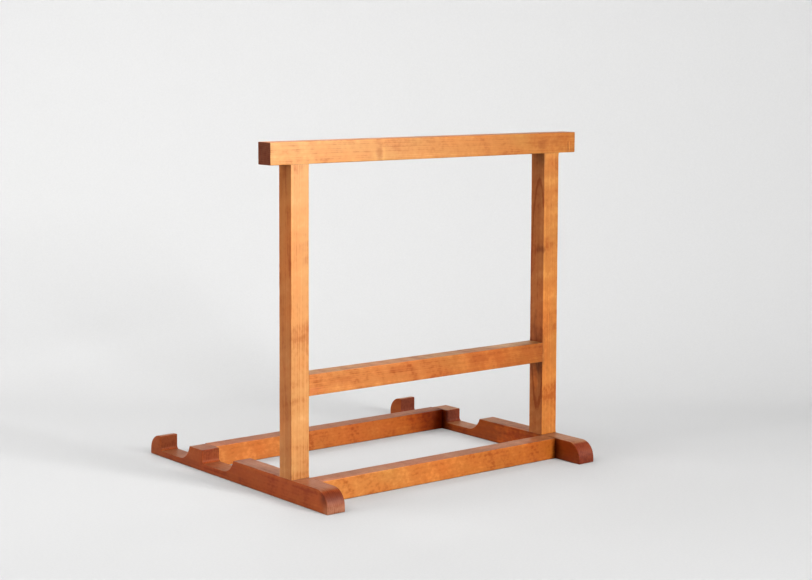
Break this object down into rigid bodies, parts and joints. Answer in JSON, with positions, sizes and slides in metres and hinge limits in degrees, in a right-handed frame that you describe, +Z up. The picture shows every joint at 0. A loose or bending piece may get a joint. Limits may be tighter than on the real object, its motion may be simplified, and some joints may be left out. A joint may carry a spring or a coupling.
{
  "type": "ham holder stand",
  "caption": "Freestanding timber frame stand: notched base runners seat the lower edge of a ham board, and the top rail holds it leaning back.",
  "frame": {"origin": "on the table, at the middle of the rectangle that the base covers", "axes": "+X along the rails to the right, +Y from the posts towards the notched ends of the runners, +Z up"},
  "size_m": [0.568, 0.464, 0.498],
  "materials": {
    "upright_cherry": "satin",
    "base_cherry": "satin",
    "beech_dowel": "matte"
  },
  "bodies": {
    "root": {"left_runner": "base_cherry", "right_runner": "base_cherry", "front_stretcher": "base_cherry", "rear_stretcher": "base_cherry", "left_post": "upright_cherry", "right_post": "upright_cherry", "mid_rail": "upright_cherry", "top_rail": "upright_cherry", "left_post_foot_dowels": "beech_dowel", "left_post_head_dowels": "beech_dowel", "mid_rail_left_dowels": "beech_dowel", "front_stretcher_left_dowels": "beech_dowel", "rear_stretcher_left_dowels": "beech_dowel", "right_post_foot_dowels": "beech_dowel", "right_post_head_dowels": "beech_dowel", "mid_rail_right_dowels": "beech_dowel", "front_stretcher_right_dowels": "beech_dowel", "rear_stretcher_right_dowels": "beech_dowel"}
  },
  "joints": []
}
